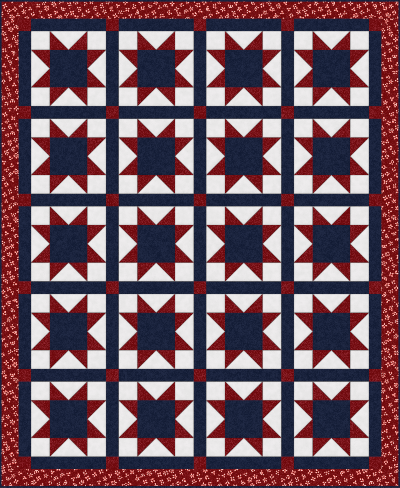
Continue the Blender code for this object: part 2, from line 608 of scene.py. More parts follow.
@dataclass
class Workroom:
    """Where the pieces are sewn.

    Attributes:
        plan: the quilt's layout.
        relief: the quilted top's relief.
        finishes: the material of each cloth.
        pieces: the pieces sewn so far.
        patches: the patches among them.
        surfaces: the sheet of each patch or of several together.
    """

    plan: QuiltPlan
    relief: QuiltedRelief
    finishes: dict[Cloth, bpy.types.Material]
    pieces: list[bpy.types.Object] = field(default_factory=list)
    patches: list[Patch] = field(default_factory=list)
    surfaces: list[Surface] = field(default_factory=list)

    def sew(
        self,
        name: str,
        points: Array,
        faces: Sequence[Sequence[int]],
        cloth: Cloth,
        node: str,
        on_cloth: Array | None = None,
        from_seam: Array | None = None,
    ) -> bpy.types.Object:
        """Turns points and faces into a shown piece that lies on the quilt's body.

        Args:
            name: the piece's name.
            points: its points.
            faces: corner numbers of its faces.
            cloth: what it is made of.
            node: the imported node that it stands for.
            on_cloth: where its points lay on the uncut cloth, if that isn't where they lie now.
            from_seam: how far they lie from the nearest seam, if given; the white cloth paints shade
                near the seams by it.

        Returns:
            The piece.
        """
        mesh = bpy.data.meshes.new(name)
        mesh.from_pydata(points, [], faces)
        mesh.shade_smooth()
        keep_cloth_places(mesh, points if on_cloth is None else on_cloth)
        if from_seam is not None:
            layer = mesh.attributes.new(SEAM_MAP, "FLOAT", "POINT")
            layer.data.foreach_set("value", np.asarray(from_seam, dtype=float))
        mesh.materials.append(self.finishes[cloth])
        piece = bpy.data.objects.new(name, mesh)
        bpy.context.scene.collection.objects.link(piece)
        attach(piece, BODY)
        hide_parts(node)
        self.pieces.append(piece)
        LOG.info("%s: %d faces of %s", name, len(faces), cloth.value)
        return piece

    def sew_patches(
        self, name: str, patches: Sequence[Patch], node: str = CENTRE_NODE
    ) -> tuple[bpy.types.Object, Surface]:
        """Makes one piece of patches that are cut from the same cloth.

        Args:
            name: the piece's name.
            patches: its patches.
            node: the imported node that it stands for.

        Returns:
            The piece, and the sheet that it was made from.
        """
        surface = Surface.joined([Surface.of_patch(patch, self.relief) for patch in patches])
        self.patches += patches
        self.surfaces.append(surface)
        cloth = patches[0].kind.cloth
        maps = (surface.on_cloth, surface.inside)
        piece = self.sew(name, surface.points, surface.faces, cloth, node, *maps)
        return piece, surface


@dataclass(frozen=True)
class StarBlock:
    """One star block: a centre square, eight star points, and the white round them.

    Attributes:
        plan: the quilt's layout.
        column: the block's place across the quilt, from the left.
        row: its place along the quilt, from the bottom.
    """

    plan: QuiltPlan
    column: int
    row: int

    @property
    def middle(self) -> Cell:
        """The block's middle.

        Returns:
            The grid point there.
        """
        plan = self.plan
        first = plan.sash + plan.unit * UNITS_PER_BLOCK / 2
        return (
            plan.cells(self.column * plan.pitch + first - plan.centre_x),
            plan.cells(self.row * plan.pitch + first - plan.centre_y),
        )

    def turned(self, corners: Sequence[Cell], quarter_turns: int) -> tuple[Cell, ...]:
        """Moves corners, given in units from the block's middle, round the block.

        Args:
            corners: the corners before turning.
            quarter_turns: how many quarter turns to make, anticlockwise.

        Returns:
            The corners as grid points.
        """
        middle_x, middle_y = self.middle
        placed = []
        for x, y in corners:
            for _ in range(quarter_turns):
                x, y = -y, x
            placed.append((middle_x + x * CELLS_PER_UNIT, middle_y + y * CELLS_PER_UNIT))
        return tuple(placed)

    def centre_square(self) -> list[Patch]:
        """The navy square in the middle."""
        return [Patch(PatchKind.CENTRE_SQUARE, self.turned(rectangle(-1, -1, 1, 1), 0))]

    def star_points(self) -> list[Patch]:
        """Cuts the red triangles, two on each side of the centre square.

        Returns:
            The eight patches.
        """
        pair = (((1, 0), (2, 1), (1, 1)), ((1, -1), (2, -1), (1, 0)))
        return [
            Patch(PatchKind.STAR_POINT, self.turned(corners, turns))
            for turns in range(4)
            for corners in pair
        ]

    def background(self) -> list[Patch]:
        """Cuts the white triangle between each pair of star points, and the corner squares.

        Returns:
            The eight patches.
        """
        shapes = (((1, 0), (2, -1), (2, 1)), rectangle(1, 1, 2, 2))
        return [
            Patch(PatchKind.BACKGROUND, self.turned(corners, turns))
            for turns in range(4)
            for corners in shapes
        ]

    def build(self, workroom: Workroom) -> None:
        """Sews the block, one piece for each of its cloths.

        Args:
            workroom: where the block is sewn.
        """
        name = f"block_r{self.row + 1}_c{self.column + 1}"
        workroom.sew_patches(name + "_centre_square", self.centre_square())
        workroom.sew_patches(name + "_star_points", self.star_points())
        workroom.sew_patches(name + "_background", self.background())


@dataclass(frozen=True)
class Sashing:
    """The navy strips between the blocks, and the red squares where they meet.

    Attributes:
        plan: the quilt's layout.
    """

    plan: QuiltPlan

    def strip_start(self, number: int, half_length: float) -> int:
        """Where a strip begins, counted from the left or the bottom, in grid cells."""
        return self.plan.cells(number * self.plan.pitch - half_length)

    def build(self, workroom: Workroom) -> None:
        """Sews every strip and every cornerstone.

        Args:
            workroom: where they are sewn.
        """
        plan = self.plan
        wide, long = plan.cells(plan.sash), plan.cells(plan.pitch)
        for row in range(BLOCKS_DOWN + 1):
            bottom = self.strip_start(row, plan.centre_y)
            for column in range(BLOCKS_ACROSS + 1):
                left = self.strip_start(column, plan.centre_x)
                place = f"r{row + 1}_c{column + 1}"
                square = rectangle(left, bottom, left + wide, bottom + wide)
                workroom.sew_patches(
                    "cornerstone_" + place, [Patch(PatchKind.CORNERSTONE, square)]
                )
                if column < BLOCKS_ACROSS:
                    strip = rectangle(left + wide, bottom, left + long, bottom + wide)
                    workroom.sew_patches("sash_level_" + place, [Patch(PatchKind.SASH, strip)])
                if row < BLOCKS_DOWN:
                    strip = rectangle(left, bottom + wide, left + wide, bottom + long)
                    workroom.sew_patches("sash_upright_" + place, [Patch(PatchKind.SASH, strip)])


@dataclass(frozen=True)
class Border:
    """One printed strip. The long pair ends at the other pair, which runs the full width.

    Attributes:
        plan: the quilt's layout.
        side: the side of the quilt that it lies on.
        map_rows: how many rows the strip is folded into on its own map.
        map_margin: part of a row that is left clear above and below it.
    """

    plan: QuiltPlan
    side: Side
    map_rows: int = 6
    map_margin: float = 0.02

    def patch(self) -> Patch:
        """Cuts the strip, with its outer edge under the binding.

        Returns:
            The patch, stitched along the binding's inner edge.
        """
        plan = self.plan
        lengthwise = self.side.lengthwise
        seam = plan.cells(plan.centre_x if lengthwise else plan.centre_y)
        edge = plan.cells(plan.half_x if lengthwise else plan.half_y)
        end = plan.cells(plan.centre_y if lengthwise else plan.half_x)
        covered = plan.cells(plan.binding)
        sewn_end = end if lengthwise else end - covered
        corners = self.box(seam, edge, end)
        return Patch(PatchKind.BORDER, corners, self.box(seam, edge - covered, sewn_end))

    def box(self, near: int, far: int, end: int) -> tuple[Cell, ...]:
        """Marks out a strip on this side of the quilt, in grid cells from the quilt's middle.

        Args:
            near: where it begins, on its inner side.
            far: where it ends, on its outer side.
            end: half its length.

        Returns:
            Its corners, anticlockwise.
        """
        low, high = sorted((self.side.direction * near, self.side.direction * far))
        if self.side.lengthwise:
            return rectangle(low, -end, high, end)
        return rectangle(-end, low, end, high)

    def add_map(self, mesh: bpy.types.Mesh, surface: Surface) -> None:
        """Folds the strip into rows on a square map, so that its print stays sharp there.

        Args:
            mesh: the strip's mesh.
            surface: the sheet that it was made from.
        """
        along_axis = 1 if self.side.lengthwise else 0
        faces = np.array(surface.faces)
        along = surface.cells[faces, along_axis] - surface.cells[:, along_axis].min()
        across = surface.cells[faces, 1 - along_axis] - surface.cells[:, 1 - along_axis].min()
        per_row = math.ceil(along.max() / self.map_rows)
        row = along.min(axis=1, keepdims=True) // per_row
        u = (along - row * per_row) / per_row
        within = self.map_margin + (1 - 2 * self.map_margin) * across / across.max()
        v = (row + within) / self.map_rows
        layer = mesh.uv_layers.new(name=BAKE_MAP)
        layer.data.foreach_set("uv", np.stack((u, v), axis=-1).ravel())

    def build(self, workroom: Workroom) -> None:
        """Sews the strip.

        Args:
            workroom: where the strip is sewn.
        """
        node = "border_" + self.side.word
        piece, surface = workroom.sew_patches(node + "_strip", [self.patch()], node)
        self.add_map(piece.data, surface)


@dataclass(frozen=True)
class Binding:
    """One side of the binding: doubled cloth folded round the quilt's raw edge and mitred.

    Attributes:
        plan: the quilt's layout.
        side: the side of the quilt that it lies on.
        height: height of the fold.
        sewn_height: height of the sewn edge on the quilt's face.
        cloth: thickness of the doubled cloth.
        bulge: how far the fold rounds out.
        turned_over: how far the folded edge on the quilt's face lies past its seam.
        fold_steps: points round the outside of the fold, and round the inside.
        hem_steps: points round a folded edge.
        station: distance between sections along the side.
        mitre_gap: room left at a mitred corner.
        crown_rise: how much higher the cloth is between the fold and the sewn edge.
        slack: how far the binding waves in and out, and up and down.
    """

    plan: QuiltPlan
    side: Side
    height: float = 0.0042
    sewn_height: float = 0.0041
    cloth: float = 0.0006
    bulge: float = 0.0019
    turned_over: float = 0.0013
    fold_steps: int = 8
    hem_steps: int = 4
    station: float = 0.008
    mitre_gap: float = 0.0001
    crown_rise: float = 0.00015
    slack: tuple[SoftNoise, SoftNoise] = (SoftNoise(0.017, 0.0002, 21), SoftNoise(0.023, 0.0001, 22))

    def fold(self, height: float, bulge: float, floor: float) -> list[Pair]:
        """Points round a fold, from its lower leg to its upper one.

        Args:
            height: how far apart the legs are.
            bulge: how far the fold rounds out.
            floor: height of the lower leg.

        Returns:
            Distances in from the quilt's edge, with heights.
        """
        points = []
        for step in range(self.fold_steps + 1):
            angle = math.pi * (step / self.fold_steps - 0.5)
            distance = self.bulge - bulge * math.cos(angle)
            points.append((distance, floor + height / 2 * (1 + math.sin(angle))))
        return points

    def hem(self, end: float, middle_height: float) -> list[Pair]:
        """Points round the folded edge of a leg, from its upper face to its lower one.

        Args:
            end: how far in from the quilt's edge it ends.
            middle_height: its height halfway through the cloth.

        Returns:
            Distances in from the quilt's edge, with heights.
        """
        radius = self.cloth / 2
        points = []
        for step in range(self.hem_steps + 1):
            angle = math.pi * (0.5 - step / self.hem_steps)
            distance = end - radius + radius * math.cos(angle)
            points.append((distance, middle_height + radius * math.sin(angle)))
        return points

    def section(self) -> Array:
        """Draws the binding's outline, which starts and ends inside the fold.

        Returns:
            Distances in from the quilt's edge, with heights.
        """
        outside = self.fold(self.height, self.bulge, 0)
        inside = self.fold(self.height - 2 * self.cloth, self.bulge - self.cloth, self.cloth)
        middle = len(inside) // 2
        crown = ((self.bulge + self.plan.binding) / 2, self.height + self.crown_rise)
        upper_end = self.plan.binding + self.turned_over
        upper_hem = self.hem(upper_end, self.sewn_height - self.cloth / 2)
        lower_hem = self.hem(self.plan.binding, self.cloth / 2)
        lower_half = inside[middle::-1] + lower_hem + outside
        return np.array(lower_half + [crown] + upper_hem + inside[:middle:-1])

    def build(self, workroom: Workroom) -> None:
        """Draws the section out along its side.

        Args:
            workroom: where the binding is sewn.
        """
        plan, lengthwise = self.plan, self.side.lengthwise
        half_length = plan.half_y if lengthwise else plan.half_x
        edge = plan.half_x if lengthwise else plan.half_y
        section = self.section()
        count = math.ceil(2 * half_length / self.station)
        shares, distances = np.meshgrid(
            np.linspace(-1, 1, count + 1), section[:, 0], indexing="ij"
        )
        along = shares * (half_length - distances - self.mitre_gap)
        heights = np.broadcast_to(section[:, 1], distances.shape)
        sway, bob = (noise.at(along, np.full_like(along, edge)) for noise in self.slack)
        end_fade = np.minimum((1 - np.abs(shares)) * half_length / plan.binding, 1)
        lifted = heights / self.height
        across = self.side.direction * (edge - distances - np.abs(sway) * end_fade * lifted)
        heights = heights + (bob - self.slack[1].height) * end_fade * lifted
        planned = (across, along) if lengthwise else (along, across)
        points = np.stack((*planned, heights), axis=-1).reshape(-1, 3)
        strip = BOLT_REACH * list(Side).index(self.side)
        lengths = np.cumsum(np.linalg.norm(np.diff(section, axis=0, prepend=section[:1]), axis=1))
        unfolded = np.broadcast_to(lengths, along.shape)
        on_cloth = np.stack((along + strip, unfolded, np.zeros_like(along)), axis=-1)
        faces = self.skin(count, len(section))
        if (self.side.direction > 0) != lengthwise:
            faces = [face[::-1] for face in faces]
        name = "binding_" + self.side.word
        workroom.sew(name + "_fold", points, faces, Cloth.BINDING, name, on_cloth)

    def skin(self, count: int, around: int) -> list[list[int]]:
        """Faces between sections, and one at each mitred end.

        Args:
            count: how many lengths there are between sections.
            around: how many points a section has.

        Returns:
            Corner numbers of each face.
        """
        faces = []
        for length in range(count):
            for point in range(around):
                after = (point + 1) % around
                low, high = length * around, (length + 1) * around
                faces.append([low + point, high + point, high + after, low + after])
        faces.append(list(range(around)))
        faces.append([count * around + point for point in reversed(range(around))])
        return faces


@dataclass(frozen=True)
class Backing:
    """The plain cloth underneath, drawn up a little where the seams are quilted.

    Attributes:
        plan: the quilt's layout.
        step: grid cells between its points.
        drawn_up: how far a seam lifts it.
        reach: how far from a seam that lift fades.
        clearance: how far it lies above the surface under the quilt.
    """

    plan: QuiltPlan
    step: int = 4
    drawn_up: float = 0.0008
    reach: float = 0.006
    clearance: float = 0.0001

    def seam_distances(self, surfaces: Iterable[Surface]) -> Array:
        """Distance from the nearest seam, over the whole grid.

        Args:
            surfaces: the sheets of the whole top.

        Returns:
            A table with a row for each grid row, from the lower left corner.
        """
        half_columns = self.plan.cells(self.plan.half_x)
        half_rows = self.plan.cells(self.plan.half_y)
        table = np.zeros((2 * half_rows + 1, 2 * half_columns + 1))
        for surface in surfaces:
            columns, rows = surface.cells.T
            places = (rows + half_rows, columns + half_columns)
            table[places] = np.where(surface.inside > self.plan.cell / 2, surface.inside, 0)
        return table

    def build(self, workroom: Workroom) -> bpy.types.Object:
        """Args:
            workroom: where the other pieces have been sewn.

        Returns:
            The backing.
        """
        plan = self.plan
        distances = self.seam_distances(workroom.surfaces)[:: self.step, :: self.step]
        height, width = distances.shape
        columns, rows = np.meshgrid(np.arange(width), np.arange(height))
        x, y = workroom.relief.places(
            columns * self.step - plan.cells(plan.half_x), rows * self.step - plan.cells(plan.half_y)
        )
        lifted = self.clearance + self.drawn_up * np.exp(-distances / self.reach)
        points = np.stack((x, y, lifted), axis=-1).reshape(-1, 3)
        numbers = np.arange(width * height).reshape(height, width)
        around = (numbers[:-1, :-1], numbers[1:, :-1], numbers[1:, 1:], numbers[:-1, 1:])
        faces = np.stack(around, axis=-1).reshape(-1, 4).tolist()
        backing = workroom.sew("backing", points, faces, Cloth.BACKING, CENTRE_NODE)
        return backing


class Signal:
    """A number that one shader node hands to the next, with plain arithmetic."""

    def __init__(self, tree: bpy.types.NodeTree, socket: bpy.types.NodeSocket) -> None:
        """Wraps a node's output."""
        self.tree = tree
        self.socket = socket

    def maths(self, operation: str, *others: "Signal | float") -> "Signal":
        """Adds a Math node that starts with this number.

        Args:
            operation: the node's operation.
            others: its further inputs.

        Returns:
            The node's result.
        """
        node = self.tree.nodes.new("ShaderNodeMath")
        node.operation = operation
        for number, socket in zip((self, *others), node.inputs):
            plug(self.tree, number, socket)
        return Signal(self.tree, node.outputs[0])

    def __add__(self, other: "Signal | float") -> "Signal":
        """This number plus another."""
        return self.maths("ADD", other)

    def __sub__(self, other: "Signal | float") -> "Signal":
        """This number less another."""
        return self.maths("SUBTRACT", other)

    def __mul__(self, other: "Signal | float") -> "Signal":
        """This number times another."""
        return self.maths("MULTIPLY", other)

    def __truediv__(self, other: "Signal | float") -> "Signal":
        """This number divided by another."""
        return self.maths("DIVIDE", other)

    def __mod__(self, other: "Signal | float") -> "Signal":
        """What is left after whole steps of another number, never below nothing."""
        return self.maths("FLOORED_MODULO", other)

    def sine(self) -> "Signal":
        """Sine of an angle in radians."""
        return self.maths("SINE")

    def cosine(self) -> "Signal":
        """Cosine of an angle in radians."""
        return self.maths("COSINE")

    def size(self) -> "Signal":
        """The number without its sign."""
        return self.maths("ABSOLUTE")

    def larger(self, other: "Signal | float") -> "Signal":
        """The larger of two numbers."""
        return self.maths("MAXIMUM", other)

    def smaller(self, other: "Signal | float") -> "Signal":
        """The smaller of two numbers."""
        return self.maths("MINIMUM", other)

    def above(self, limit: float) -> "Signal":
        """One where the number is above a limit, and nothing elsewhere."""
        return self.maths("GREATER_THAN", limit)

    def below(self, limit: float) -> "Signal":
        """One where the number is below a limit, and nothing elsewhere."""
        return self.maths("LESS_THAN", limit)

    def eased(self, start: float, end: float) -> "Signal":
        """Turns the number smoothly into a share, which falls if the end comes first.

        Args:
            start: where the share is 0.
            end: where it is 1.

        Returns:
            The share, from 0 to 1.
        """
        node = self.tree.nodes.new("ShaderNodeMapRange")
        node.interpolation_type = "SMOOTHSTEP"
        low, high = sorted((start, end))
        plug(self.tree, self, node.inputs["Value"])
        node.inputs["From Min"].default_value = low
        node.inputs["From Max"].default_value = high
        node.inputs["To Min"].default_value = 0.0 if start < end else 1.0
        node.inputs["To Max"].default_value = 1.0 if start < end else 0.0
        return Signal(self.tree, node.outputs["Result"])


def plug(
    tree: bpy.types.NodeTree, value: "Signal | Colour | float", socket: bpy.types.NodeSocket
) -> None:
    """Links a signal to a node's input, or sets the input to a number or a colour.

    Args:
        tree: the node tree.
        value: what goes in.
        socket: the input.
    """
    if isinstance(value, Signal):
        tree.links.new(value.socket, socket)
    elif isinstance(value, tuple):
        socket.default_value = (*value, 1.0)
    else:
        socket.default_value = value


def length_of(x: Signal, y: Signal) -> Signal:
    """Distance of a place from where both its parts are nothing."""
    return (x * x + y * y).maths("SQRT")


def rotated(x: Signal, y: Signal, angle: "Signal | float") -> tuple[Signal, Signal]:
    """Turns the axes that a place is measured by.

    Args:
        x: the place's first part.
        y: its second part.
        angle: how far the axes turn, anticlockwise, in radians.

    Returns:
        Both parts by the turned axes.
    """
    if isinstance(angle, Signal):
        cosine, sine = angle.cosine(), angle.sine()
    else:
        cosine, sine = math.cos(angle), math.sin(angle)
    return x * cosine + y * sine, y * cosine - x * sine


class ShaderBench:
    """One material while its nodes are put together."""

    def __init__(self, name: str) -> None:
        """Starts a material with a bare shader and the place on the uncut cloth, in metres.

        Args:
            name: the material's name.
        """
        self.material = bpy.data.materials.new(name)
        self.material.use_nodes = True
        self.tree = self.material.node_tree
        self.shader = self.tree.nodes["Principled BSDF"]
        places = self.tree.nodes.new("ShaderNodeAttribute")
        places.attribute_name = CLOTH_MAP
        self.place = Signal(self.tree, places.outputs["Vector"])
        parts = self.tree.nodes.new("ShaderNodeSeparateXYZ")
        plug(self.tree, self.place, parts.inputs["Vector"])
        self.x = Signal(self.tree, parts.outputs["X"])
        self.y = Signal(self.tree, parts.outputs["Y"])

    def noise(self, size: float, detail: float = 2.0, seed: float = 0.0) -> Signal:
        """Cloudy noise.

        Args:
            size: size of its clouds.
            detail: how many finer layers it has.
            seed: number that sets it apart from other noise of that size.

        Returns:
            A number that stays near one half.
        """
        node = self.tree.nodes.new("ShaderNodeTexNoise")
        node.noise_dimensions = "4D"
        node.inputs["W"].default_value = seed
        node.inputs["Scale"].default_value = 1 / size
        node.inputs["Detail"].default_value = detail
        plug(self.tree, self.place, node.inputs["Vector"])
        return Signal(self.tree, node.outputs["Fac"])

    def measure(self, name: str) -> Signal:
        """Reads a number that the mesh keeps for each of its points.

        Args:
            name: the name that it is kept under.

        Returns:
            The number.
        """
        node = self.tree.nodes.new("ShaderNodeAttribute")
        node.attribute_name = name
        return Signal(self.tree, node.outputs["Fac"])

    def joined(self, x: Signal, y: Signal) -> Signal:
        """Takes two numbers together as one place.

        Args:
            x: the place's first part.
            y: its second part.

        Returns:
            The place.
        """
        node = self.tree.nodes.new("ShaderNodeCombineXYZ")
        plug(self.tree, x, node.inputs["X"])
        plug(self.tree, y, node.inputs["Y"])
        return Signal(self.tree, node.outputs["Vector"])

    def scattered(self, x: Signal, y: Signal, spacing: float, jitter: float) -> list[Signal]:
        """Scatters points over the cloth and tells of the one nearest to a place.

        Args:
            x: the place's first part.
            y: its second part.
            spacing: distance between points.
            jitter: how far they leave their rows, from 0 to 1.

        Returns:
            Where the point is, as two parts, and three numbers of its own, each from 0 to 1.
        """
        node = self.tree.nodes.new("ShaderNodeTexVoronoi")
        node.voronoi_dimensions = "2D"
        node.inputs["Scale"].default_value = 1 / spacing
        node.inputs["Randomness"].default_value = jitter
        plug(self.tree, self.joined(x, y), node.inputs["Vector"])
        point = self.tree.nodes.new("ShaderNodeSeparateXYZ")
        plug(self.tree, Signal(self.tree, node.outputs["Position"]), point.inputs["Vector"])
        own = self.tree.nodes.new("ShaderNodeSeparateColor")
        plug(self.tree, Signal(self.tree, node.outputs["Color"]), own.inputs["Color"])
        sockets = (point.outputs["X"], point.outputs["Y"], *own.outputs)
        return [Signal(self.tree, socket) for socket in sockets]

    def mix(self, share: Signal, first: "Signal | Colour", second: "Signal | Colour") -> Signal:
        """Mixes two colours.

        Args:
            share: how much of the second there is.
            first: the first colour.
            second: the second colour.

        Returns:
            The mixed colour.
        """
        node = self.tree.nodes.new("ShaderNodeMix")
        node.data_type = "RGBA"
        sockets = {socket.name: socket for socket in node.inputs if socket.enabled}
        plug(self.tree, share, sockets["Factor"])
        plug(self.tree, first, sockets["A"])
        plug(self.tree, second, sockets["B"])
        return Signal(self.tree, next(socket for socket in node.outputs if socket.enabled))

    def raise_by(self, height: Signal, distance: float) -> None:
        """Raises the surface by a height.

        Args:
            height: how high each place is, as a share of distance.
            distance: height of what is 1 high.
        """
        node = self.tree.nodes.new("ShaderNodeBump")
        node.inputs["Distance"].default_value = distance
        plug(self.tree, height, node.inputs["Height"])
        earlier = self.shader.inputs["Normal"].links
        if earlier:
            self.tree.links.new(earlier[0].from_socket, node.inputs["Normal"])
        self.tree.links.new(node.outputs["Normal"], self.shader.inputs["Normal"])


@dataclass(frozen=True)
class DyedCotton:
    """Plain-woven quilting cotton with an uneven dye.

    Attributes:
        deep: colour where the dye is deepest.
        pale: colour where it is palest.
        speck: size of its specks.
        speck_span: noise between which the colour goes from deep to pale.
        cloud: size of its broader clouds.
        cloud_share: how much the clouds count beside the specks.
        seed: number that sets its pattern apart.
        yarn: distance between neighbouring yarns.
        yarn_height: how far a yarn stands proud of its neighbours.
        weave_share: how much of that height the weave has, beside the slubs.
        slub: size of the thick and thin places in the yarns.
        gap: how wide the painted shade in the gaps between yarns is, as a share of a yarn's roundness.
        painted_gap_shade: how dark that painted shade between yarns is.
        painted_seam_shade_reach: how far in from a seam the painted shade of the seam ditch reaches.
        painted_seam_shade: how dark that painted shade is at the seam.
        painted_shade_share: colour of the painted shade, in the weave's gaps and near the seams, as a
            share of the deepest dye.
        pucker: size of the small creases left by washing.
        pucker_height: their height.
        roughness: least and greatest roughness.
        gloss: the shader's specular level.
        sheen: the shader's sheen weight.
        sheen_roughness: how widely the sheen is spread.
    """

    deep: Colour
    pale: Colour
    speck: float = 0.0028
    speck_span: Pair = (0.42, 0.6)
    cloud: float = 0.05
    cloud_share: float = 0.1
    seed: float = 0.0
    yarn: float = 0.00036
    yarn_height: float = 0.00006
    weave_share: float = 0.5
    slub: float = 0.00216
    gap: float = 0.4
    painted_gap_shade: float = 0.17
    painted_seam_shade_reach: float = 0.003
    painted_seam_shade: float = 0.0
    painted_shade_share: float = 0.25
    pucker: float = 0.007
    pucker_height: float = 0.00012
    roughness: Pair = (0.82, 0.95)
    gloss: float = 0.04
    sheen: float = 0.02
    sheen_roughness: float = 0.5

    def noise(self, bench: ShaderBench, layer: NoiseLayer, size: float, detail: float) -> Signal:
        """Cloudy noise that this cloth's seed sets apart from the other cloths'."""
        return bench.noise(size, detail, self.seed + layer)

    def ground(self, bench: ShaderBench) -> Signal:
        """Draws the dyed colour, with its specks and clouds.

        Args:
            bench: the material's bench.

        Returns:
            The colour.
        """
        specks = self.noise(bench, NoiseLayer.SPECKS, self.speck, detail=3.0)
        clouds = self.noise(bench, NoiseLayer.CLOUDS, self.cloud, detail=1.0)
        both = specks * (1 - self.cloud_share) + clouds * self.cloud_share
        return bench.mix(both.eased(*self.speck_span), self.deep, self.pale)

    def colour(self, bench: ShaderBench) -> Signal:
        """The cloth's colour before its weave is drawn, which is the ground's."""
        return self.ground(bench)

    def weave(self, bench: ShaderBench) -> Signal:
        """One where a yarn passes over, minus one where it passes under, nothing between yarns."""
        turn = math.pi / self.yarn
        return (bench.x * turn).sine() * (bench.y * turn).sine()

    def make(self, name: str) -> bpy.types.Material:
        """Puts the material together.

        Args:
            name: the material's name.

        Returns:
            The material.
        """
        bench = ShaderBench(name)
        shader = bench.shader
        weave = self.weave(bench)
        # Painted shade: the gaps between yarns are darkened towards this dark copy of the deepest dye,
        # standing in for the shadow between yarns
        painted_shade = tuple(part * self.painted_shade_share for part in self.deep)
        gap_shade_mask = weave.size().eased(self.gap, 0.0) * self.painted_gap_shade
        colour = bench.mix(gap_shade_mask, self.colour(bench), painted_shade)
        # Painted shade in the seam ditches: the colour darkens towards the seam, standing in for the
        # shadow in the ditch, and in part for dark seam allowances showing through the cloth
        if self.painted_seam_shade:
            from_seam = bench.measure(SEAM_MAP).eased(self.painted_seam_shade_reach, 0.0)
            colour = bench.mix(from_seam * self.painted_seam_shade, colour, painted_shade)
        plug(bench.tree, colour, shader.inputs["Base Color"])
        worn = self.noise(bench, NoiseLayer.WEAR, self.cloud, detail=2.0).eased(*NOISE_SPAN)
        low, high = self.roughness
        plug(bench.tree, worn * (high - low) + low, shader.inputs["Roughness"])
        shader.inputs["Specular IOR Level"].default_value = self.gloss
        shader.inputs["Sheen Weight"].default_value = self.sheen
        shader.inputs["Sheen Roughness"].default_value = self.sheen_roughness
        slubs = self.noise(bench, NoiseLayer.SLUBS, self.slub, detail=1.0)
        bench.raise_by(weave * self.weave_share + slubs, self.yarn_height)
        puckers = self.noise(bench, NoiseLayer.PUCKERS, self.pucker, detail=2.0)
        bench.raise_by(puckers, self.pucker_height)
        return bench.material


@dataclass(frozen=True)
class Dab:
    """An oval dab of ink, which printed motifs are made of.

    Attributes:
        half_x: half its size along X.
        half_y: half its size along Y.
        ahead: how far it lies from the motif's middle, along X.
        aside: how far it lies from there along Y, on both sides unless that is nothing.
        slant: how far it is turned outwards, in radians.
    """

    half_x: float
    half_y: float
    ahead: float = 0.0
    aside: float = 0.0
    slant: float = 0.0

    def out_of(self, x: Signal, y: Signal) -> Signal:
        """Works out how far out of the dab each place lies.

        Args:
            x: the place seen from the motif's middle.
            y: the same, square to it.

        Returns:
            Nothing in the middle of the dab, one at its edge, and more outside it.
        """
        x, y = x - self.ahead, y.size() - self.aside
        if self.slant:
            x, y = rotated(x, y, self.slant)
        return length_of(x / self.half_x, y / self.half_y)


def behind(x: Signal, cut: float) -> Signal:
    """How far a place lies behind a cut across X: one on the cut, more behind it."""
    return (x - cut) / -CUT_RUN + 1


@dataclass(frozen=True)
class Motif:
    """A small printed figure of dabs, the same on both sides of its X axis.

    Attributes:
        dabs: those that lie where they say.
    """

    dabs: tuple[Dab, ...]

    def out_of(self, x: Signal, y: Signal) -> Signal:
        """Works out how far out of the motif's nearest dab each place lies.

        Args:
            x: the place seen from the motif's middle.
            y: the same, square to it.

        Returns:
            One at the edge of a dab, less inside it and more outside.
        """
        nearest = self.dabs[0].out_of(x, y)
        for dab in self.dabs[1:]:
            nearest = nearest.smaller(dab.out_of(x, y))
        return nearest


@dataclass(frozen=True)
class Ring(Motif):
    """Dabs in a ring, such as the petals of a blossom.

    Attributes:
        dabs: one of them, seen from the ring's middle.
        count: how many there are.
    """

    count: int

    def out_of(self, x: Signal, y: Signal) -> Signal:
        """Folds the cloth into as many sectors as there are dabs, and draws the one dab in each.

        Args:
            x: the place seen from the motif's middle.
            y: the same, square to it.

        Returns:
            How far out of a dab each place lies.
        """
        sector = 2 * math.pi / self.count
        angle = y.maths("ARCTAN2", x) % sector - sector / 2
        distance = length_of(x, y)
        return super().out_of(distance * angle.cosine(), distance * angle.sine())


@dataclass(frozen=True)
class Garland(Motif):
    """A ring of leaves that is open on one side, with a berry in the middle.

    Attributes:
        dabs: the berry.
        leaves: the ring of leaves.
        cut: how far along X the ring is cut off, with only what lies ahead of it left.
    """

    leaves: Ring
    cut: float

    def out_of(self, x: Signal, y: Signal) -> Signal:
        """How far out of the berry or of a leaf that isn't cut off each place lies."""
        leaves = self.leaves.out_of(x, y).larger(behind(x, self.cut))
        return leaves.smaller(super().out_of(x, y))


@dataclass(frozen=True)
class Tendril(Motif):
    """A curved tendril with a berry at each end and a bud within the curve.

    Attributes:
        dabs: the berries and the bud.
        bend: radius of the curve.
        half_width: half the tendril's thickness.
        cut: how far along X the curve is cut off, with only what lies ahead of it left.
    """

    bend: float
    half_width: float
    cut: float

    def out_of(self, x: Signal, y: Signal) -> Signal:
        """How far out of the curve or of a dab each place lies."""
        curve = (length_of(x, y) - self.bend).size() / self.half_width
        return curve.larger(behind(x, self.cut)).smaller(super().out_of(x, y))


@dataclass(frozen=True)
class Fern(Motif):
    """Pairs of slanting leaves on a stem that ends in a single leaf.

    Attributes:
        dabs: the stem and the leaf at its end.
        leaf: the leaves of one pair, seen from the stem between them.
        step: distance between pairs, which stand within this far of the middle.
    """

    leaf: Dab
    step: float

    def out_of(self, x: Signal, y: Signal) -> Signal:
        """Draws the pairs of leaves, the stem and the last leaf.

        Args:
            x: the place seen from the motif's middle.
            y: the same, square to it.

        Returns:
            How far out of a leaf or of the stem each place lies.
        """
        from_pair = (x + self.step) % self.step - self.step / 2
        leaves = self.leaf.out_of(from_pair, y).larger(x.size() / self.step)
        return leaves.smaller(super().out_of(x, y))


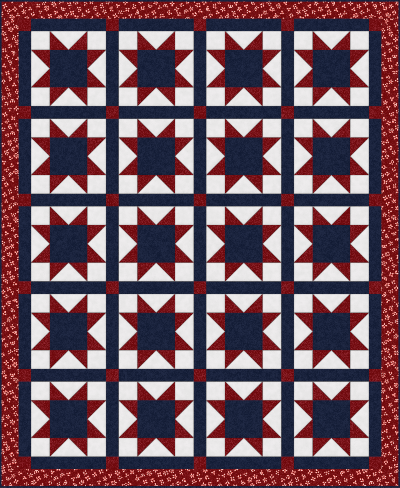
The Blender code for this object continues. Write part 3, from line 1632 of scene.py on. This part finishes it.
# The print's motifs
BLOSSOM = Ring((Dab(0.0040, 0.0028, ahead=0.0064),), count=4)
SMALL_BLOSSOM = Ring((Dab(0.0040, 0.0028, ahead=0.0052),), count=3)
STAR = Ring((Dab(0.0042, 0.0021, ahead=0.0062),), count=5)
GARLAND = Garland(
    dabs=(Dab(0.0028, 0.0026, ahead=-0.0002),),
    leaves=Ring((Dab(0.0027, 0.0032, ahead=0.0080),), count=5),
    cut=-0.0046,
)
TENDRIL = Tendril(
    dabs=(Dab(0.0034, 0.0027, ahead=-0.0008, aside=0.0078), Dab(0.0044, 0.0028, ahead=0.0010)),
    bend=0.0078,
    half_width=0.0014,
    cut=0.0045,
)
FERN = Fern(
    dabs=(Dab(0.0096, 0.0005), Dab(0.0037, 0.0026, ahead=0.0104)),
    leaf=Dab(0.0043, 0.0026, aside=0.0056, slant=0.6),
    step=0.0096,
)
TWIN_LEAVES = Motif(
    (
        Dab(0.0052, 0.0027, aside=0.0050, slant=0.55),
        Dab(0.0034, 0.0026, ahead=0.0086),
        Dab(0.0045, 0.0005, ahead=-0.0065),
    )
)
BUD = Motif(
    (Dab(0.0044, 0.0034, ahead=0.0036), Dab(0.0038, 0.0024, ahead=-0.0052, aside=0.0044, slant=0.9))
)


@dataclass(frozen=True)
class SprigPrint(DyedCotton):
    """Dyed cotton printed with small scattered motifs.

    Attributes:
        blush: ink at the edge of a dab.
        cream: ink in its middle.
        motifs: the figures that are printed, all about equally often.
        spacing: distance between motifs.
        turn: angle of their rows, which hides that they are rows.
        jitter: how far they leave their rows.
        bleed: how far ink bleeds out of a dab, as a share of the dab.
        heart: where in a dab the paler ink starts to give way, and where it has gone.
        faint: least strength of a motif's ink.
        faint_span: a motif's own number for its faintest ink, and for full strength.
        patch: size of the places where less ink was taken up.
        patch_span: noise there for the least ink, and for full strength.
        patch_ink: strength of that least ink.
        stray: size of the unevenness in the drawing.
        stray_reach: how far it moves a dab.
        fleck: the small dabs between motifs.
        fleck_spacing: distance between those, shown or not.
        fleck_jitter: how far they leave their rows.
        fleck_share: how many of them show.
        room: how far from a motif's middle one may be.
    """

    blush: Colour = (0.7, 0.2, 0.2)
    cream: Colour = (1.0, 0.7, 0.6)
    motifs: tuple[Motif, ...] = (
        BLOSSOM,
        GARLAND,
        SMALL_BLOSSOM,
        TENDRIL,
        STAR,
        FERN,
        TWIN_LEAVES,
        BUD,
    )
    spacing: float = 0.0292
    turn: float = 0.46
    jitter: float = 0.3
    bleed: float = 0.12
    heart: Pair = (0.35, 0.95)
    faint: float = 0.75
    faint_span: Pair = (0.0, 0.4)
    patch: float = 0.007
    patch_span: Pair = (0.36, 0.5)
    patch_ink: float = 0.7
    stray: float = 0.011
    stray_reach: float = 0.005
    fleck: Dab = Dab(0.0032, 0.0016)
    fleck_spacing: float = 0.0135
    fleck_jitter: float = 0.6
    fleck_share: float = 0.1
    room: float = 0.0150

    def strayed(self, bench: ShaderBench, place: Signal, layer: NoiseLayer) -> Signal:
        """One part of a place, moved a little, as a hand strays in drawing."""
        noise = self.noise(bench, layer, self.stray, detail=1.0)
        return place + (noise - NOISE_MIDDLE) * self.stray_reach

    def flecks(self, bench: ShaderBench, x: Signal, y: Signal) -> Signal:
        """Draws small dabs where there is room between motifs.

        Args:
            bench: the material's bench.
            x: the place's first part, along the motifs' rows.
            y: its second part.

        Returns:
            How far out of a dab each place lies.
        """
        own = bench.scattered(x, y, self.fleck_spacing, self.fleck_jitter)
        own_x, own_y, number, angle, _ = own
        fleck = self.fleck.out_of(*rotated(x - own_x, y - own_y, angle * (2 * math.pi)))
        motif_x, motif_y, *_ = bench.scattered(own_x, own_y, self.spacing, self.jitter)
        crowded = length_of(own_x - motif_x, own_y - motif_y).below(self.room)
        left_out = number.above(self.fleck_share)
        return fleck + (left_out + crowded) * OUT_OF_REACH

    def figures(self, bench: ShaderBench, x: Signal, y: Signal, kind: Signal) -> Signal:
        """Draws one of the motifs.

        Args:
            bench: the material's bench.
            x: the place seen from the motif's middle.
            y: the same, square to it.
            kind: the motif's own number, from 0 to 1, which says which of them it is.

        Returns:
            How far out of a dab each place lies.
        """
        x = self.strayed(bench, x, NoiseLayer.STRAY_X)
        y = self.strayed(bench, y, NoiseLayer.STRAY_Y)
        reach = self.motifs[0].out_of(x, y)
        for number, motif in enumerate(self.motifs[1:], start=1):
            chosen = kind.above(number / len(self.motifs))
            reach = reach + (motif.out_of(x, y) - reach) * chosen
        return reach

    def colour(self, bench: ShaderBench) -> Signal:
        """Draws the dyed ground with the print over it.

        Args:
            bench: the material's bench.

        Returns:
            The colour.
        """
        row_x, row_y = rotated(bench.x, bench.y, self.turn)
        own = bench.scattered(row_x, row_y, self.spacing, self.jitter)
        own_x, own_y, kind, angle, strength = own
        x, y = rotated(row_x - own_x, row_y - own_y, angle * (2 * math.pi))
        reach = self.figures(bench, x, y, kind).smaller(self.flecks(bench, row_x, row_y))
        ink = reach.eased(1 + self.bleed, 1)
        ink = ink * (strength.eased(*self.faint_span) * (1 - self.faint) + self.faint)
        taken_up = self.noise(bench, NoiseLayer.INK, self.patch, detail=1.0).eased(*self.patch_span)
        ink = ink * (taken_up * (1 - self.patch_ink) + self.patch_ink)
        start, end = self.heart
        inks = bench.mix(reach.eased(end, start), self.blush, self.cream)
        return bench.mix(ink, self.ground(bench), inks)


@dataclass(frozen=True)
class SewingThread:
    """Fine twisted thread.

    Attributes:
        tone: its colour.
        twist: distance between its twists.
        strand_height: how far a strand stands proud of the next.
        uneven: size of its shinier and duller places.
        roughness: least and greatest roughness.
        sheen: the shader's sheen weight.
    """

    tone: Colour
    twist: float = 0.0004
    strand_height: float = 0.000025
    uneven: float = 0.0016
    roughness: Pair = (0.5, 0.8)
    sheen: float = 0.1

    def make(self, name: str) -> bpy.types.Material:
        """Puts the material together.

        Args:
            name: the material's name.

        Returns:
            The material.
        """
        bench = ShaderBench(name)
        bench.shader.inputs["Base Color"].default_value = (*self.tone, 1.0)
        bench.shader.inputs["Sheen Weight"].default_value = self.sheen
        low, high = self.roughness
        roughness = bench.noise(self.uneven, detail=1.0) * (high - low) + low
        plug(bench.tree, roughness, bench.shader.inputs["Roughness"])
        strands = ((bench.x + bench.y) * (2 * math.pi / self.twist)).sine()
        bench.raise_by(strands, self.strand_height)
        return bench.material


@dataclass(frozen=True)
class FloorPaint:
    """Matt pale paint with a fine grain.

    Attributes:
        deep: colour where it is darkest.
        pale: colour where it is lightest.
        grain: size of its grain.
        roughness: the shader's roughness.
        gloss: the shader's specular level.
    """

    deep: Colour
    pale: Colour
    grain: float = 0.01
    roughness: float = 0.9
    gloss: float = 0.1

    def make(self, name: str) -> bpy.types.Material:
        """Puts the material together.

        Args:
            name: the material's name.

        Returns:
            The material.
        """
        bench = ShaderBench(name)
        tone = bench.noise(self.grain, detail=2.0).eased(*NOISE_SPAN)
        plug(bench.tree, bench.mix(tone, self.deep, self.pale), bench.shader.inputs["Base Color"])
        bench.shader.inputs["Roughness"].default_value = self.roughness
        bench.shader.inputs["Specular IOR Level"].default_value = self.gloss
        return bench.material


@dataclass(frozen=True)
class QuiltingThread:
    """Running stitches in the seams, which hold the quilt's layers together.

    Attributes:
        plan: the quilt's layout.
        spacing: distance from one stitch to the next.
        half_length: half the length of a stitch.
        half_width: half its width.
        height: how far it stands up out of the seam.
        sunk: how far its ends go down into it.
    """

    plan: QuiltPlan
    spacing: float = INCH / 8
    half_length: float = 0.00105
    half_width: float = 0.00022
    height: float = 0.0003
    sunk: float = 0.0001

    def seams(self, patches: Iterable[Patch]) -> list[tuple[Cell, Cell]]:
        """Finds every seam between two patches.

        Args:
            patches: all the patches of the top.

        Returns:
            Both ends of each seam, as grid points, once each.
        """
        plan = self.plan
        covered = plan.cells(plan.binding)
        limits = (plan.cells(plan.half_x) - covered, plan.cells(plan.half_y) - covered)
        found = {
            tuple(sorted((seam.start, seam.end))) for patch in patches for seam in patch.seams
        }
        return [ends for ends in sorted(found) if not self.is_held(ends, limits)]

    @staticmethod
    def is_held(ends: tuple[Cell, Cell], limits: Cell) -> bool:
        """Tells whether a line runs along the binding, whose own seam holds it.

        Args:
            ends: both ends of the line.
            limits: grid column and row of the binding's inner edge.

        Returns:
            True if it does.
        """
        start, end = ends
        return any(
            start[axis] == end[axis] and abs(start[axis]) == limits[axis] for axis in (0, 1)
        )

    def stitches(self, ends: tuple[Cell, Cell], relief: QuiltedRelief) -> Array:
        """Lays stitches along one seam.

        Args:
            ends: both ends of the seam, as grid points.
            relief: the quilted top's relief.

        Returns:
            Five points for each stitch: its two ends, its two sides and its top.
        """
        start, end = (np.array(point) * self.plan.cell for point in ends)
        length = math.dist(start, end)
        forward = (end - start) / length
        sideways = np.array((-forward[1], forward[0]))
        count = round(length / self.spacing)
        middles = start + np.outer((np.arange(count) + 0.5) / count, end - start)
        shifts = (
            -self.half_length * forward,
            -self.half_width * sideways,
            self.half_length * forward,
            self.half_width * sideways,
            np.zeros(2),
        )
        lifts = (-self.sunk, 0, -self.sunk, 0, self.height)
        levels = relief.seam_level(middles[:, 0], middles[:, 1])
        corners = [
            np.column_stack((middles + shift, levels + lift))
            for shift, lift in zip(shifts, lifts)
        ]
        return np.stack(corners, axis=1).reshape(-1, 3)

    def build(self, workroom: Workroom) -> None:
        """Sews all the stitches as one piece.

        Args:
            workroom: where the patches have been sewn.
        """
        seams = self.seams(workroom.patches)
        points = np.concatenate([self.stitches(ends, workroom.relief) for ends in seams])
        top = STITCH_FOOT
        sides = np.array([(corner, (corner + 1) % STITCH_FOOT, top) for corner in range(STITCH_FOOT)])
        firsts = np.arange(0, len(points), STITCH_FOOT + 1)
        faces = (firsts[:, None, None] + sides).reshape(-1, 3).tolist()
        workroom.sew("quilting_stitches", points, faces, Cloth.THREAD, CENTRE_NODE)


@dataclass(frozen=True)
class Studio:
    """A pale floor, soft light from all round, and a camera straight above.

    Attributes:
        plan: the quilt's layout.
        face_height: height of the quilt's face, which the frame is fitted to.
        camera_height: height of the camera above it.
        sight: how far the camera sees, as a multiple of its height.
        rim_hidden: half of how much of the quilt's rim lies past the frame's top. None of it
            lies past the bottom.
        film_spread: how far a point of light spreads on the film, in pixels.
        photo_width: width of the photograph, in pixels.
        photo_height: its height.
        floor_reach: half the side of the floor.
        floor_drop: how far the floor lies below the quilt.
        floor_paint: the floor's finish.
        room_light: strength of the light from all round.
        key_light: strength of the light from the upper left.
        key_softness: angle that it spans.
        key_turn: how the lamp is turned.
    """

    plan: QuiltPlan
    face_height: float = 0.005
    camera_height: float = 8.0
    sight: float = 10.0
    rim_hidden: float = 0.0006
    film_spread: float = 0.7
    photo_width: int = 400
    photo_height: int = 488
    floor_reach: float = 40.0
    floor_drop: float = 0.0002
    floor_paint: FloorPaint = FloorPaint(deep=dye(223, 222, 220), pale=dye(225, 224, 222))
    room_light: float = 0.88
    key_light: float = 0.55
    key_softness: float = math.radians(50)
    key_turn: tuple[float, float, float] = (math.radians(-38), math.radians(-34), 0)

    def build_floor(self) -> None:
        """Lays the floor."""
        reach = self.floor_reach
        mesh = bpy.data.meshes.new("floor")
        corners = [(-reach, -reach), (reach, -reach), (reach, reach), (-reach, reach)]
        points = [(x, y, -self.floor_drop) for x, y in corners]
        mesh.from_pydata(points, [], [(0, 1, 2, 3)])
        keep_cloth_places(mesh, points)
        mesh.materials.append(self.floor_paint.make("pale_floor"))
        floor = bpy.data.objects.new("floor", mesh)
        bpy.context.scene.collection.objects.link(floor)

    def build_lights(self) -> None:
        """Sets the light from all round and the soft key light."""
        scene = bpy.context.scene
        world = bpy.data.worlds.new("studio")
        world.use_nodes = True
        background = world.node_tree.nodes["Background"]
        background.inputs["Color"].default_value = (1, 1, 1, 1)
        background.inputs["Strength"].default_value = self.room_light
        scene.world = world
        key = bpy.data.lights.new("key_light", "SUN")
        key.energy = self.key_light
        key.angle = self.key_softness
        lamp = bpy.data.objects.new("key_light", key)
        lamp.rotation_euler = self.key_turn
        scene.collection.objects.link(lamp)

    def build_camera(self) -> None:
        """Hangs the camera so that the quilt just fills the photograph's frame."""
        scene = bpy.context.scene
        camera = bpy.data.cameras.new("camera")
        shape = self.photo_height / self.photo_width
        shown_length = 2 * min(self.plan.half_y, self.plan.half_x * shape) - 2 * self.rim_hidden
        camera.lens = camera.sensor_width * self.camera_height / shown_length
        camera.clip_end = self.sight * self.camera_height
        holder = bpy.data.objects.new("camera", camera)
        holder.location = (0, -self.rim_hidden, self.camera_height + self.face_height)
        scene.collection.objects.link(holder)
        scene.camera = holder
        scene.view_settings.view_transform = "Standard"
        scene.cycles.filter_width = self.film_spread
        scene.cycles.use_denoising = False

    def build(self) -> None:
        """Sets the whole studio up."""
        self.build_floor()
        self.build_lights()
        self.build_camera()


def make_finishes() -> dict[Cloth, bpy.types.Material]:
    """Makes the material of each cloth.

    Returns:
        The materials.
    """
    navy = DyedCotton(
        deep=dye(13, 24, 51),
        pale=dye(32, 42, 71),
        speck_span=(0.4, 0.62),
        cloud=0.016,
        cloud_share=0.25,
        seed=3.0,
    )
    red_span = (0.48, 0.65)
    finishes = {
        Cloth.NAVY: navy,
        Cloth.RED: DyedCotton(
            deep=dye(112, 1, 4), pale=dye(155, 41, 51), speck_span=red_span, seed=5.0
        ),
        Cloth.WHITE: DyedCotton(
            deep=dye(233, 232, 232),
            pale=dye(240, 238, 239),
            speck=0.02,
            speck_span=(0.34, 0.66),
            painted_gap_shade=0.07,
            # painted shade in the white's seam ditches
            painted_seam_shade=0.9,
        ),
        Cloth.PRINT: SprigPrint(
            deep=dye(113, 0, 1),
            pale=dye(149, 36, 43),
            speck_span=red_span,
            blush=dye(255, 94, 88),
            cream=dye(255, 218, 212),
            seed=6.0,
        ),
        Cloth.BINDING: replace(navy, seed=7.0),
        Cloth.BACKING: replace(navy, seed=8.0),
        Cloth.THREAD: SewingThread(dye(34, 42, 68)),
    }
    return {cloth: finish.make(cloth.value) for cloth, finish in finishes.items()}


def main() -> None:
    """Builds the blanket's sub-assemblies in order, then the studio."""
    logging.basicConfig(level=logging.INFO, format="%(message)s")
    plan = QuiltPlan.from_frame()
    workroom = Workroom(plan, QuiltedRelief(plan), make_finishes())
    for row in range(BLOCKS_DOWN):
        for column in range(BLOCKS_ACROSS):
            StarBlock(plan, column, row).build(workroom)
    Sashing(plan).build(workroom)
    for side in Side:
        Border(plan, side).build(workroom)
        Binding(plan, side).build(workroom)
    QuiltingThread(plan).build(workroom)
    Backing(plan).build(workroom)
    Studio(plan).build()


if __name__ == "__main__":
    main()
